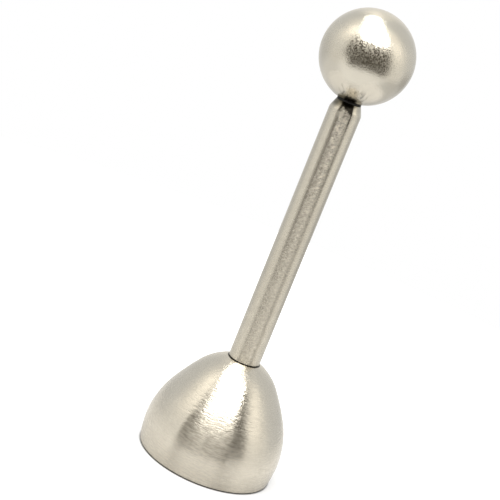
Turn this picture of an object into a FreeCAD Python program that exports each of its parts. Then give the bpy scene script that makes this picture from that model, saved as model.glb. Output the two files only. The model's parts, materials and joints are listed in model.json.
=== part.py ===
"""Spring-loaded egg topper: a pressed steel bell on a tube handle, with a ball knob on top.

Pulling the ball lifts a rod and striker against a spring inside the tube. Letting go drives the
striker down onto an anvil that is screwed to the bell, and the shock cracks a clean ring in the
shell of the egg that the bell sits on.

Units are millimetres. The origin is the centre of the bell's rim, which the topper stands on.
+Z runs up the handle to the ball.
"""
import FreeCAD, Part

import math
import os

# ---- driving dimensions --------------------------------------------------------------------

# Bell: a lip below the widest ring, then three arcs that run smoothly into each other
BELL_DIAMETER = 39.8        # outside, at the widest ring
BELLY_HEIGHT = 6.0          # from the rim up to the widest ring
RIM_INSET = 0.65            # how far the rim stands inside the widest ring, on the radius
BELLY_RADIUS = 25.5
FLANK_RADIUS = 75.0
CROWN_RADIUS = 16.0
FLANK_START = 29.3          # lean of the wall where the flank starts, in degrees
FLANK_END = 36.0            # lean of the wall where the crown's arc takes over
BELL_WALL = 1.0
RIM_ROUND = 0.3             # worn outer edge of the rim
LAND_MARGIN = 0.1           # pressed flats on the crown are this much larger than what they carry

# Handle tube
TUBE_DIAMETER = 9.0
TUBE_WALL = 0.8
TUBE_LENGTH = 77.0
SHOULDER_RADIUS = 2.5       # arc by which the upper end starts to turn in
SWAGE_ANGLE = 22.0          # half angle of the cone that follows it, up to the mouth, in degrees
TUBE_FOOT_CHAMFER = 0.2

# Rod, ball and buffer
ROD_DIAMETER = 4.0
BALL_DIAMETER = 25.5
BALL_THREAD_LENGTH = 10.0
BUFFER_THICKNESS = 0.5
BUFFER_INSET = 0.1          # the buffer's edge stands this far inside the mouth's land

# Striker, anvil and spring
STRIKER_THREAD_LENGTH = 8.0
STRIKER_SOLID = 4.4         # steel between the striker's tapped hole and its face
STRIKER_NOSE = 0.9          # chamfer round the striking face
ANVIL_SOLID = 2.2           # steel between the anvil's tapped hole and its face
SPRING_SEAT_THICKNESS = 0.8
WIRE_DIAMETER = 0.8
COIL_PITCH = 1.84           # of the open coils, with the striker down
END_COILS = 1.5             # closed coils at each end of the spring
COIL_EASE = 0.5             # share of a turn over which the closed coils open
BUSH_LENGTH = 5.0           # straight part of the guide bush, below its rounded top

# Fastening of the handle on the bell
SCREW_DIAMETER = 4.0
SCREW_LENGTH = 10.0
SCREW_HEAD_DIAMETER = 8.0
SCREW_HEAD_HEIGHT = 2.8
SCREW_HEAD_RIM = 1.1        # straight height of the head, above its rounded crown
RECESS_SPAN = 4.4
RECESS_WIDTH = 0.95
RECESS_DEPTH = 1.7
RECESS_TAPER = 0.8          # how much each slot narrows to its floor, at each end
LOCK_WASHER_DIAMETER = 7.6
LOCK_WASHER_THICKNESS = 0.9
LOCK_WASHER_SPLIT = 0.6
FLAT_WASHER_DIAMETER = 8.0
FLAT_WASHER_THICKNESS = 0.5
THREAD_PITCH = 0.7          # of both threads, which are plain cylinders at the pitch diameter
DRILL_POINT = 118.0         # angle of the drill's point, in degrees

# Clearances, each on the radius or along the axis
PRESS_GAP = 0.01            # between pieces that are pressed together
RUNNING_GAP = 0.05          # rod in its bush and washers
MOUTH_GAP = 0.62            # rod in the tube's mouth
STRIKER_GAP = 0.2           # striker and spring seat in the tube's bore
THREAD_GAP = 0.02
HOLE_GAP = 0.3              # screw in the bell and the washers
BUFFER_GAP = 0.02           # the striker lands just before the buffer is squeezed
THREAD_RUNOUT = 1.0         # how much deeper a tapped hole is than the thread in it is long
EDGE = 0.3                  # small chamfer on turned pieces


# ---- points and levels that follow ---------------------------------------------------------

def at(radius, height):
    """A point in the half-plane of radius and height."""
    return FreeCAD.Vector(radius, 0, height)


def from_centre(centre, radius, lean):
    """The point of an arc at which its wall leans in from upright by the given degrees."""
    return centre + at(radius * math.cos(math.radians(lean)), radius * math.sin(math.radians(lean)))


bell_radius = BELL_DIAMETER / 2
rim_radius = bell_radius - RIM_INSET
lip_radius = (BELLY_HEIGHT**2 + RIM_INSET**2) / (2 * RIM_INSET)
lip_centre = at(bell_radius - lip_radius, BELLY_HEIGHT)
belly_centre = at(bell_radius - BELLY_RADIUS, BELLY_HEIGHT)
flank_centre = from_centre(belly_centre, BELLY_RADIUS - FLANK_RADIUS, FLANK_START)
crown_centre = from_centre(flank_centre, FLANK_RADIUS - CROWN_RADIUS, FLANK_END)


def crown_level(radius, depth):
    """Height of the crown at a radius, at a depth inside the bell's outer skin."""
    return crown_centre.z + math.sqrt((CROWN_RADIUS - depth) ** 2 - (radius - crown_centre.x) ** 2)


def thread_radius(diameter):
    """Pitch radius of a metric thread."""
    return diameter / 2 - 3 * math.sqrt(3) / 16 * THREAD_PITCH


tube_radius = TUBE_DIAMETER / 2
outer_land = tube_radius + LAND_MARGIN
inner_land = FLAT_WASHER_DIAMETER / 2 + LAND_MARGIN
bell_height = crown_level(outer_land, 0)
crown_inside = crown_level(inner_land, BELL_WALL)
flat_washer_bottom = crown_inside - FLAT_WASHER_THICKNESS
screw_seat = flat_washer_bottom - LOCK_WASHER_THICKNESS
screw_radius = thread_radius(SCREW_DIAMETER)
screw_hole_radius = SCREW_DIAMETER / 2 + HOLE_GAP

rod_radius = ROD_DIAMETER / 2
rod_thread_radius = thread_radius(ROD_DIAMETER)
rod_hole_radius = rod_radius + RUNNING_GAP
bore_radius = tube_radius - TUBE_WALL
mouth_radius = rod_radius + MOUTH_GAP
mouth_height = bell_height + TUBE_LENGTH
swage_angle = math.radians(SWAGE_ANGLE)
land_radius = mouth_radius + TUBE_WALL / math.cos(swage_angle)
cone_foot_radius = tube_radius - SHOULDER_RADIUS * (1 - math.cos(swage_angle))
cone_rise = (cone_foot_radius - land_radius) / math.tan(swage_angle)
swage_start = mouth_height - cone_rise - SHOULDER_RADIUS * math.sin(swage_angle)
shoulder_centre = at(tube_radius - SHOULDER_RADIUS, swage_start)


def hole_depth(radius, thread_length):
    """Depth of a tapped hole to the tip of the cone that its drill leaves."""
    return thread_length + THREAD_RUNOUT + radius / math.tan(math.radians(DRILL_POINT / 2))


anvil_thread_length = SCREW_LENGTH - (bell_height - screw_seat)
anvil_top = bell_height + hole_depth(screw_radius, anvil_thread_length) + ANVIL_SOLID
striker_top = anvil_top + STRIKER_SOLID + hole_depth(rod_thread_radius, STRIKER_THREAD_LENGTH)
striker_radius = bore_radius - STRIKER_GAP
spring_bottom = striker_top + SPRING_SEAT_THICKNESS
spring_top = swage_start - BUSH_LENGTH
spring_height = spring_top - spring_bottom
coil_radius = (rod_radius + bore_radius) / 2
closed_height = END_COILS * WIRE_DIAMETER
open_coils = round((spring_height - 2 * closed_height) / COIL_PITCH)

buffer_bottom = mouth_height + BUFFER_GAP
ball_flat = buffer_bottom + BUFFER_THICKNESS
ball_radius = BALL_DIAMETER / 2
ball_centre = ball_flat + math.sqrt(ball_radius**2 - land_radius**2)
overall_height = ball_centre + ball_radius


# ---- helpers -------------------------------------------------------------------------------

class Outline:
    """A closed outline in the half-plane of radius and height, turned once round +Z."""

    def __init__(self, radius, height):
        self.start = self.here = at(radius, height)
        self.edges = []

    def line(self, radius, height):
        self.edges.append(Part.LineSegment(self.here, at(radius, height)).toShape())
        self.here = at(radius, height)
        return self

    def arc(self, centre, end):
        """An arc about a centre, by the short way round, to its end."""
        chord_middle = (self.here + end) * 0.5
        crest = centre + (chord_middle - centre).normalize() * (end - centre).Length
        self.edges.append(Part.Arc(self.here, crest, end).toShape())
        self.here = end
        return self

    def turn(self):
        self.line(self.start.x, self.start.z)
        face = Part.Face(Part.Wire(self.edges))
        return face.revolve(FreeCAD.Vector(0, 0, 0), FreeCAD.Vector(0, 0, 1), 360)


def ring(inner_radius, outer_radius, bottom, thickness, edge=0.0):
    """A washer, with its outer corners broken by edge."""
    top = bottom + thickness
    outline = Outline(inner_radius, bottom)
    if edge:
        outline.line(outer_radius - edge, bottom).line(outer_radius, bottom + edge)
        outline.line(outer_radius, top - edge).line(outer_radius - edge, top)
    else:
        outline.line(outer_radius, bottom).line(outer_radius, top)
    return outline.line(inner_radius, top).turn()


def tapped_hole(radius, mouth, thread_length, way):
    """The space of a tapped hole on the axis, with the cone that its drill leaves."""
    wall = radius + THREAD_GAP
    tip = mouth + way * hole_depth(radius, thread_length)
    outline = Outline(0, mouth).line(wall, mouth)
    return outline.line(wall, mouth + way * (thread_length + THREAD_RUNOUT)).line(0, tip).turn()


# ---- pieces --------------------------------------------------------------------------------

def bell():
    """Pressed steel shell: an inward lip, a belly, a flank and a crown with a pressed flat."""
    flank_foot = from_centre(flank_centre, FLANK_RADIUS, FLANK_START)
    flank_head = from_centre(flank_centre, FLANK_RADIUS, FLANK_END)
    inner_flank_foot = from_centre(flank_centre, FLANK_RADIUS - BELL_WALL, FLANK_START)
    inner_flank_head = from_centre(flank_centre, FLANK_RADIUS - BELL_WALL, FLANK_END)
    rim_inside = lip_centre.x + math.sqrt((lip_radius - BELL_WALL) ** 2 - BELLY_HEIGHT**2)
    outline = Outline(rim_radius, 0)
    outline.arc(lip_centre, at(bell_radius, BELLY_HEIGHT)).arc(belly_centre, flank_foot)
    outline.arc(flank_centre, flank_head).arc(crown_centre, at(outer_land, bell_height))
    outline.line(screw_hole_radius, bell_height).line(screw_hole_radius, crown_inside)
    outline.line(inner_land, crown_inside).arc(crown_centre, inner_flank_head)
    outline.arc(flank_centre, inner_flank_foot)
    outline.arc(belly_centre, at(bell_radius - BELL_WALL, BELLY_HEIGHT))
    outline.arc(lip_centre, at(rim_inside, 0))
    shell = outline.turn()
    outer_edge = [
        edge for edge in shell.Edges
        if abs(edge.BoundBox.ZMax) < 1e-6 and abs(edge.BoundBox.XMax - rim_radius) < 1e-6
    ]
    return shell.makeFillet(RIM_ROUND, outer_edge)


def handle_tube():
    """Drawn tube, cut square at the foot and swaged in to a cone with a narrow mouth at the top."""
    shoulder = from_centre(shoulder_centre, SHOULDER_RADIUS, SWAGE_ANGLE)
    inner_shoulder = from_centre(shoulder_centre, SHOULDER_RADIUS - TUBE_WALL, SWAGE_ANGLE)
    outline = Outline(bore_radius, bell_height)
    outline.line(tube_radius - TUBE_FOOT_CHAMFER, bell_height)
    outline.line(tube_radius, bell_height + TUBE_FOOT_CHAMFER)
    outline.line(tube_radius, swage_start).arc(shoulder_centre, shoulder)
    outline.line(land_radius, mouth_height).line(mouth_radius, mouth_height)
    outline.line(inner_shoulder.x, inner_shoulder.z)
    outline.arc(shoulder_centre, at(bore_radius, swage_start))
    return outline.turn()


def anvil_plug():
    """Solid plug pressed into the tube's foot: tapped below, struck on top."""
    radius = bore_radius - PRESS_GAP
    outline = Outline(0, bell_height).line(radius - EDGE, bell_height)
    outline.line(radius, bell_height + EDGE).line(radius, anvil_top - EDGE)
    outline.line(radius - EDGE, anvil_top).line(0, anvil_top)
    return outline.turn().cut(tapped_hole(screw_radius, bell_height, anvil_thread_length, 1))


def screw_recess(bottom):
    """Two tapered slots that cross in the screw's head."""
    half_mouth = RECESS_SPAN / 2
    half_floor = half_mouth - RECESS_TAPER
    corners = [
        (-half_mouth, bottom), (half_mouth, bottom),
        (half_floor, bottom + RECESS_DEPTH), (-half_floor, bottom + RECESS_DEPTH),
    ]
    points = [FreeCAD.Vector(x, -RECESS_WIDTH / 2, z) for x, z in corners]
    slot = Part.Face(Part.makePolygon(points + points[:1])).extrude(FreeCAD.Vector(0, RECESS_WIDTH, 0))
    crossed = slot.copy()
    crossed.rotate(FreeCAD.Vector(0, 0, 0), FreeCAD.Vector(0, 0, 1), 90)
    return slot.fuse(crossed)


def bell_screw():
    """Pan-head screw, driven from inside the bell up into the anvil plug."""
    head_radius = SCREW_HEAD_DIAMETER / 2
    head_bottom = screw_seat - SCREW_HEAD_HEIGHT
    flat_radius = RECESS_SPAN / 2 + EDGE
    crown_start = screw_seat - SCREW_HEAD_RIM
    # The crown's arc leaves the head's rim upright and ends at the flat round the recess.
    spread = head_radius - flat_radius
    crown_radius = ((crown_start - head_bottom) ** 2 + spread**2) / (2 * spread)
    crown_middle = at(head_radius - crown_radius, crown_start)
    tip = screw_seat + SCREW_LENGTH
    outline = Outline(0, head_bottom).line(flat_radius, head_bottom)
    outline.arc(crown_middle, at(head_radius, crown_start))
    outline.line(head_radius, screw_seat).line(screw_radius, screw_seat)
    outline.line(screw_radius, tip - EDGE).line(screw_radius - EDGE, tip).line(0, tip)
    return outline.turn().cut(screw_recess(head_bottom))


def lock_washer():
    """Split spring washer, pressed flat under the screw's head."""
    radius = LOCK_WASHER_DIAMETER / 2
    washer = ring(screw_hole_radius, radius, screw_seat, LOCK_WASHER_THICKNESS)
    lean = FreeCAD.Vector(0, LOCK_WASHER_SPLIT, LOCK_WASHER_THICKNESS)
    foot = [(0, 0), (radius + EDGE, 0), (radius + EDGE, LOCK_WASHER_SPLIT), (0, LOCK_WASHER_SPLIT)]
    points = [FreeCAD.Vector(x, y, screw_seat) for x, y in foot]
    split = Part.Face(Part.makePolygon(points + points[:1])).extrude(lean)
    return washer.cut(split)


def flat_washer():
    """Plain washer between the lock washer and the crown."""
    radius = FLAT_WASHER_DIAMETER / 2
    return ring(screw_hole_radius, radius, flat_washer_bottom, FLAT_WASHER_THICKNESS)


def guide_bush():
    """Turned bush that nests under the swage, guides the rod and carries the spring's top."""
    outer = bore_radius - PRESS_GAP
    nested = from_centre(shoulder_centre, SHOULDER_RADIUS - TUBE_WALL - PRESS_GAP, SWAGE_ANGLE)
    outline = Outline(rod_hole_radius, spring_top).line(outer, spring_top).line(outer, swage_start)
    return outline.arc(shoulder_centre, nested).line(rod_hole_radius, nested.z).turn()


def return_spring():
    """Compression spring: closed coils at both ends, ground flat, and open coils between."""
    turns = open_coils + 2 * END_COILS
    opening = END_COILS
    closing = turns - END_COILS
    # The wire's centre starts and ends on the spring's end planes, where grinding halves it.
    rise_of = {0: 0, opening: closed_height, closing: spring_height - closed_height, turns: spring_height}
    closed_lead = WIRE_DIAMETER
    first_half = (opening - COIL_EASE) / 2
    rise_of[first_half] = first_half * closed_lead
    rise_of[turns / 2] = spring_height / 2
    rise_of[turns - first_half] = spring_height - first_half * closed_lead
    full_turn = 2 * math.pi
    poles = [FreeCAD.Base.Vector2d(turn * full_turn, rise_of[turn]) for turn in sorted(rise_of)]
    knots = [0, opening - COIL_EASE, opening + COIL_EASE, closing - COIL_EASE, closing + COIL_EASE, turns]
    lead = Part.Geom2d.BSplineCurve2d()
    lead.buildFromPolesMultsKnots(poles, [3, 1, 1, 1, 1, 3], knots, False, 2)
    barrel = Part.Cylinder()
    barrel.Radius = coil_radius
    barrel.Center = at(0, spring_bottom)
    spans = math.ceil(turns)
    stops = [turns * span / spans for span in range(spans + 1)]
    path = Part.Wire([lead.toShape(barrel, a, b) for a, b in zip(stops, stops[1:])])
    section = Part.makeCircle(WIRE_DIAMETER / 2, at(coil_radius, spring_bottom), FreeCAD.Vector(0, 1, 0))
    coil = path.makePipeShell([Part.Wire(section)], True, True)
    return coil.common(Part.makeCylinder(tube_radius, spring_height, at(0, spring_bottom)))


def spring_seat():
    """Washer that the spring bears on, so that the striker can turn under it."""
    return ring(rod_hole_radius, striker_radius, striker_top, SPRING_SEAT_THICKNESS, EDGE / 2)


def striker():
    """Turned steel weight on the rod's lower end, with a flat striking face."""
    outline = Outline(0, anvil_top).line(striker_radius - STRIKER_NOSE, anvil_top)
    outline.line(striker_radius, anvil_top + STRIKER_NOSE)
    outline.line(striker_radius, striker_top - EDGE).line(striker_radius - EDGE, striker_top)
    weight = outline.line(0, striker_top).turn()
    return weight.cut(tapped_hole(rod_thread_radius, striker_top, STRIKER_THREAD_LENGTH, -1))


def pull_rod():
    """Polished rod, threaded at both ends: into the striker below and the ball above."""
    bottom = striker_top - STRIKER_THREAD_LENGTH
    top = ball_flat + BALL_THREAD_LENGTH
    outline = Outline(0, bottom).line(rod_thread_radius - EDGE, bottom)
    outline.line(rod_thread_radius, bottom + EDGE).line(rod_thread_radius, striker_top)
    outline.line(rod_radius, striker_top).line(rod_radius, ball_flat)
    outline.line(rod_thread_radius, ball_flat).line(rod_thread_radius, top - EDGE)
    return outline.line(rod_thread_radius - EDGE, top).line(0, top).turn()


def buffer_washer():
    """Thin black rubber washer between the ball and the tube's mouth."""
    return ring(rod_hole_radius, land_radius - BUFFER_INSET, buffer_bottom, BUFFER_THICKNESS)


def ball_knob():
    """Solid steel ball with a small flat and a tapped hole underneath."""
    centre = at(0, ball_centre)
    outline = Outline(0, ball_flat).line(land_radius, ball_flat)
    outline.arc(centre, at(ball_radius, ball_centre)).arc(centre, at(0, overall_height))
    return outline.turn().cut(tapped_hole(rod_thread_radius, ball_flat, BALL_THREAD_LENGTH, 1))


PIECES = {
    "bell": bell,
    "handle_tube": handle_tube,
    "anvil_plug": anvil_plug,
    "bell_screw": bell_screw,
    "lock_washer": lock_washer,
    "flat_washer": flat_washer,
    "guide_bush": guide_bush,
    "return_spring": return_spring,
    "spring_seat": spring_seat,
    "striker": striker,
    "pull_rod": pull_rod,
    "buffer_washer": buffer_washer,
    "ball_knob": ball_knob,
}


def main():
    os.makedirs("parts", exist_ok=True)
    for name, make in PIECES.items():
        solid = make()
        solid.exportStep(f"parts/{name}.step")
        print(f"{name}: {len(solid.Solids)} solid, {solid.Volume:.1f} mm3, valid {solid.isValid()}")
    solid_height = (open_coils + 2 * END_COILS) * WIRE_DIAMETER
    print(f"overall height {overall_height:.2f}, bell height {bell_height:.2f}")
    print(f"tube mouth {mouth_height:.2f}, anvil top {anvil_top:.2f}, striker top {striker_top:.2f}")
    print(f"spring {spring_bottom:.2f} to {spring_top:.2f}, {open_coils} open coils")
    print(f"the coils close up after {spring_height - solid_height:.2f} of pull")


if __name__ == "__main__":
    main()
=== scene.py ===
# %% [markdown]
# # A spring-loaded egg topper
# This lesson dresses a small kitchen tool: a steel bell that sits on an egg, a tube handle, and a ball that
# is pulled up against a hidden spring and let go. Nearly every piece of it is turned on a lathe, pressed on
# a round die or drawn through a round hole, so one helper that spins an outline makes most of the meshes.
# The engineering model gives the frame: each piece below takes its place and size from the node it stands
# for, and only adds the shape and finish that a solid model leaves out.

import json
import math

import bmesh
import bpy
from mathutils import Matrix, Vector


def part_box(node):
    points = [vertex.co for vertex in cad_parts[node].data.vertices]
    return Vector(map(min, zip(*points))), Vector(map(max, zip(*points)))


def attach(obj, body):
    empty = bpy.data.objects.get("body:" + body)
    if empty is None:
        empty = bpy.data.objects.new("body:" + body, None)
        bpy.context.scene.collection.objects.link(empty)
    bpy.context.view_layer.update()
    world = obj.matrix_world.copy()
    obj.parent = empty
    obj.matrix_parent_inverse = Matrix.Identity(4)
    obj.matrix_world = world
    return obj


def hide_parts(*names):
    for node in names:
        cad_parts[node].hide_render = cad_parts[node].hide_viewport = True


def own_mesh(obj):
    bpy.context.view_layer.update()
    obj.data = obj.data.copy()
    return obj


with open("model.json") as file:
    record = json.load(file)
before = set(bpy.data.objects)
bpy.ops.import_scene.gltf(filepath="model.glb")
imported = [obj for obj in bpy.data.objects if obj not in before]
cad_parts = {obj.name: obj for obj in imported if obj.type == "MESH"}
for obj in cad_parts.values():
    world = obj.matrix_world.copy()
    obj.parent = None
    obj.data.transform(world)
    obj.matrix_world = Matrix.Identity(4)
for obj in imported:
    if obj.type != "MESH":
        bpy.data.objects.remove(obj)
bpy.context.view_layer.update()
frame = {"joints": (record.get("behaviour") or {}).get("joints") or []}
MM = 0.001

# %% [markdown]
# ## Reading sizes from the frame
# A node's box says how wide a round piece is and where it starts and ends. Every level that two pieces share
# is read once here, so the pieces made further down meet exactly where the real ones do.

# %% Levels and radii of the round pieces


def levels(node):
    """Bottom and top of a node, in metres."""
    low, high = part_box(node)
    return low.z, high.z


def outer_radius(node):
    low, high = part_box(node)
    return (high.x - low.x) / 2


bell_bottom, bell_top = levels("bell")
tube_foot, tube_mouth = levels("handle_tube")
rod_bottom, rod_top = levels("pull_rod")
ball_flat, ball_crown = levels("ball_knob")
spring_bottom, spring_top = levels("return_spring")
striker_bottom, striker_top = levels("striker")
bell_radius = outer_radius("bell")
tube_radius = outer_radius("handle_tube")
ball_radius = outer_radius("ball_knob")
ball_centre = ball_crown - ball_radius
rod_radius = outer_radius("pull_rod")
print(f"bell {bell_radius / MM:.2f}, tube {tube_radius / MM:.2f}, ball {ball_radius / MM:.2f} mm in radius")

# %% [markdown]
# ## Shader maths as formulas
# A finish is a stack of masks: fine scratches here, a worn edge there. Written as nodes they are hard to
# read, so a small class wraps a node's output and lets Python's own arithmetic add the Math nodes. Colours
# don't go through it, because a Math node would turn them grey.

# %% A node tree that reads like arithmetic


class Wire:
    """The output of a node. Arithmetic on it adds Math nodes."""

    def __init__(self, tree, socket):
        self.tree = tree
        self.socket = socket

    def maths(self, operation, *values):
        return self.tree.add("ShaderNodeMath", {"operation": operation}, dict(enumerate(values)))

    def __add__(self, other):
        return self.maths("ADD", self, other)

    def __sub__(self, other):
        return self.maths("SUBTRACT", self, other)

    def __rsub__(self, other):
        return self.maths("SUBTRACT", other, self)

    def __mul__(self, other):
        return self.maths("MULTIPLY", self, other)

    def __truediv__(self, other):
        return self.maths("DIVIDE", self, other)

    __radd__ = __add__
    __rmul__ = __mul__

    def larger(self, other):
        return self.maths("MAXIMUM", self, other)

    def ease(self, start, end):
        """0 at start and 1 at end, with a smooth rise between them. Start may be the larger."""
        sockets = {"Value": self, "From Min": start, "From Max": end}
        return self.tree.add("ShaderNodeMapRange", {"interpolation_type": "SMOOTHSTEP"}, sockets)

    def window(self, low, high, soft):
        """1 between low and high, and 0 outside them."""
        return self.ease(low - soft, low + soft) * self.ease(high + soft, high - soft)


class Tree:
    """A node tree that is built one call at a time."""

    def __init__(self, nodes_owner):
        nodes_owner.use_nodes = True
        self.tree = nodes_owner.node_tree
        self.tree.nodes.clear()

    def add(self, kind, settings=None, sockets=None, out=0):
        """Adds a node: its settings first, then the values or wires of its sockets."""
        node = self.tree.nodes.new(kind)
        for name, value in (settings or {}).items():
            setattr(node, name, value)
        for key, value in (sockets or {}).items():
            if isinstance(value, Wire):
                self.tree.links.new(value.socket, node.inputs[key])
            else:
                node.inputs[key].default_value = value
        return Wire(self, node.outputs[out]) if len(node.outputs) else node

    def colour(self, factor, first, second):
        """A mix of two colours."""
        rgba = [value if isinstance(value, Wire) else (*value, 1.0) for value in (first, second)]
        sockets = {0: factor, 6: rgba[0], 7: rgba[1]}
        return self.add("ShaderNodeMix", {"data_type": "RGBA", "clamp_factor": True}, sockets, out=2)

    def vector(self, x, y, z):
        return self.add("ShaderNodeCombineXYZ", None, {0: x, 1: y, 2: z})

    def parts(self, vector):
        """The three numbers of a vector."""
        node = self.add("ShaderNodeSeparateXYZ", None, {0: vector}).socket.node
        return [Wire(self, socket) for socket in node.outputs]

    def length(self, x, y):
        """How far x and y lead from the axis."""
        return self.add("ShaderNodeVectorMath", {"operation": "LENGTH"}, {0: self.vector(x, y, 0.0)}, out=1)

    def noise(self, vector, scale, detail=2.0, roughness=0.5):
        sockets = {"Vector": vector, "Scale": scale, "Detail": detail, "Roughness": roughness}
        return self.add("ShaderNodeTexNoise", None, sockets)

    def millimetres(self):
        """The place on the object in millimetres, so that a pattern's scale is a real size."""
        place = self.add("ShaderNodeTexCoord", out="Object")
        return self.add("ShaderNodeVectorMath", {"operation": "SCALE"}, {0: place, "Scale": 1 / MM})


# %% [markdown]
# ## The light tent
# Polished and satin metal has hardly any colour of its own: what is seen is the room. Small steel goods are
# shown in a tent of white cloth, with an opening for the camera, and the dark opening is what gives the
# metal its contrast. The world holds that tent as soft masks on a ray's azimuth and elevation, in degrees,
# with azimuth 0 towards the camera. Patches of brighter and dimmer cloth stand for lamps and folds, so that
# the two sides differ. The camera itself sees plain white, at a strength of 1.

# %% Paint the tent on the world
WHITE = (1.0, 1.0, 1.0)
TENT_LIGHT = 0.6             # the tent's strength on rough surfaces
TENT_FRONT = (0.90, 0.89, 0.86)
TENT_BACK = (0.70, 0.71, 0.72)
TENT_BRIGHT = (1.65, 1.59, 1.48)
TENT_SIDE = (1.10, 1.07, 1.01)
TENT_FLOOR = (1.02, 1.02, 1.01)
TENT_FLOOR_SIDE = (0.66, 0.66, 0.66)
TENT_OPENING = (0.10, 0.09, 0.075)
TENT_DIM = (0.42, 0.41, 0.39)
# A patch of cloth: its share of the colour, the colour, its azimuths, its elevations and its soft edge.
PATCHES = [
    (0.50, TENT_BACK, (-95, -60), (-5, 16), 6.0),
    (1.00, TENT_BRIGHT, (-88, -57), (30, 50), 7.0),
    (0.60, TENT_BRIGHT, (62, 88), (24, 44), 7.5),
    (0.35, TENT_SIDE, (-122, -92), (34, 62), 7.0),
    (0.75, TENT_DIM, (113, 150), (-22, -6), 7.0),
    (0.30, TENT_SIDE, (90, 106), (-18, 0), 6.0),
    (0.35, TENT_DIM, (78, 118), (-30, -21), 5.0),
    (0.25, TENT_DIM, (-142, -100), (-20, 4), 7.0),
    (0.22, TENT_DIM, (-100, -60), (-24, -10), 6.0),
]


def seen_rays(tree):
    """Masks of the camera's rays, of mirrored rays, and of those two with the rays that pass through."""
    path = tree.add("ShaderNodeLightPath").socket.node
    camera, glossy, passing = [
        Wire(tree, path.outputs[f"Is {kind} Ray"]) for kind in ("Camera", "Glossy", "Transmission")
    ]
    return camera, glossy, camera.larger(glossy).larger(passing)


world = bpy.data.worlds.new("light_tent")
bpy.context.scene.world = world
tent = Tree(world)
to_right, to_back, upward = tent.parts(tent.add("ShaderNodeTexCoord", out="Generated"))
azimuth = to_right.maths("ARCTAN2", to_right, 0.0 - to_back) * math.degrees(1)
elevation = upward.maths("ARCSINE", upward) * math.degrees(1)
turned_away = azimuth.maths("ABSOLUTE", azimuth)
walls = tent.colour(turned_away.ease(80.0, 120.0) * turned_away.ease(175.0, 150.0), TENT_FRONT, TENT_BACK)
walls = tent.colour(turned_away.window(64.0, 92.0, 12.0) * elevation.window(8.0, 80.0, 8.0), walls, TENT_SIDE)
behind_left = turned_away.ease(144.0, 160.0) * to_right.ease(0.06, -0.12)
walls = tent.colour(behind_left * elevation.window(38.0, 66.0, 8.0) * 0.37, walls, TENT_BRIGHT)
floor_side = turned_away.ease(45.0, 85.0) * (to_right.ease(-0.6, 0.6) * 0.4 + 0.6)
floor = tent.colour(floor_side, TENT_FLOOR, TENT_FLOOR_SIDE)
walls = tent.colour(elevation.ease(-20.0, -33.0), walls, floor)
for share, colour, span, rise, soft in PATCHES:
    patch = azimuth.window(*span, soft) * elevation.window(*rise, soft)
    walls = tent.colour(patch * share, walls, colour)
drawn_in = elevation.ease(-6.0, -14.0) * 14.0
opening = (azimuth - drawn_in).ease(-59.0, -52.5) * (azimuth + elevation * 0.2).ease(68.0, 50.0)
opening = opening * (elevation - azimuth * 0.06).ease(-34.0, -15.0) * elevation.ease(43.0, 35.0)
walls = tent.colour(opening, walls, TENT_OPENING)
camera_ray, _, seen = seen_rays(tent)
background = tent.colour(camera_ray, walls, WHITE)
shown = tent.add("ShaderNodeBackground", None, {"Color": background, "Strength": 1.0})
lighting = tent.add("ShaderNodeBackground", None, {"Color": walls, "Strength": TENT_LIGHT})
sky = tent.add("ShaderNodeMixShader", None, {0: seen, 1: lighting, 2: shown})
tent.add("ShaderNodeOutputWorld", None, {"Surface": sky})
print("tent painted with", len(world.node_tree.nodes), "nodes")

# %% [markdown]
# ## The lit panel and the black flag
# A panel of lit cloth hangs a metre above the table. Its reflection is the long white flash down the ball
# and the bell. Its sides run slantwise, as those of a draped sheet do, so it is a flat polygon and not a
# lamp's rectangle. A small black card, which a studio calls a flag, leans at the right in front of the tool
# and puts a dark edge beside the flash. Both are hidden from the camera.

# %% Hang the panel and set the flag
PANEL_HEIGHT = 1000 * MM
PANEL_GLOW = 8.0
PANEL_CORNERS = [(-330, 360), (-70, 330), (100, -50), (230, -240), (400, -430), (640, -560), (630, -780),
                 (340, -920), (-520, -900), (-590, -620), (-520, -330), (-400, 20)]


def stage_piece(name, mesh, finish):
    """A piece of the studio, which isn't part of the tool."""
    data = bpy.data.meshes.new(name)
    mesh.to_mesh(data)
    mesh.free()
    data.materials.append(finish)
    piece = bpy.data.objects.new(name, data)
    bpy.context.scene.collection.objects.link(piece)
    return piece


panel_light = bpy.data.materials.new("panel_light")
cloth = Tree(panel_light)
emission = cloth.add("ShaderNodeEmission", None, {"Color": (1.0, 0.985, 0.96, 1.0), "Strength": PANEL_GLOW})
cloth.add("ShaderNodeOutputMaterial", None, {"Surface": emission})
sheet = bmesh.new()
corners = [sheet.verts.new((x * MM, y * MM, PANEL_HEIGHT)) for x, y in PANEL_CORNERS]
bmesh.ops.contextual_create(sheet, geom=corners)
panel = stage_piece("lit_panel", sheet, panel_light)
panel.visible_camera = False

FLAG_PLACE = Vector((66, -78, 110)) * MM
FLAG_WIDTH = 30 * MM
FLAG_LENGTH = 56 * MM
FLAG_LEAN = math.radians(-22)
FLAG_GREY = (0.12, 0.11, 0.095, 1.0)

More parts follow.
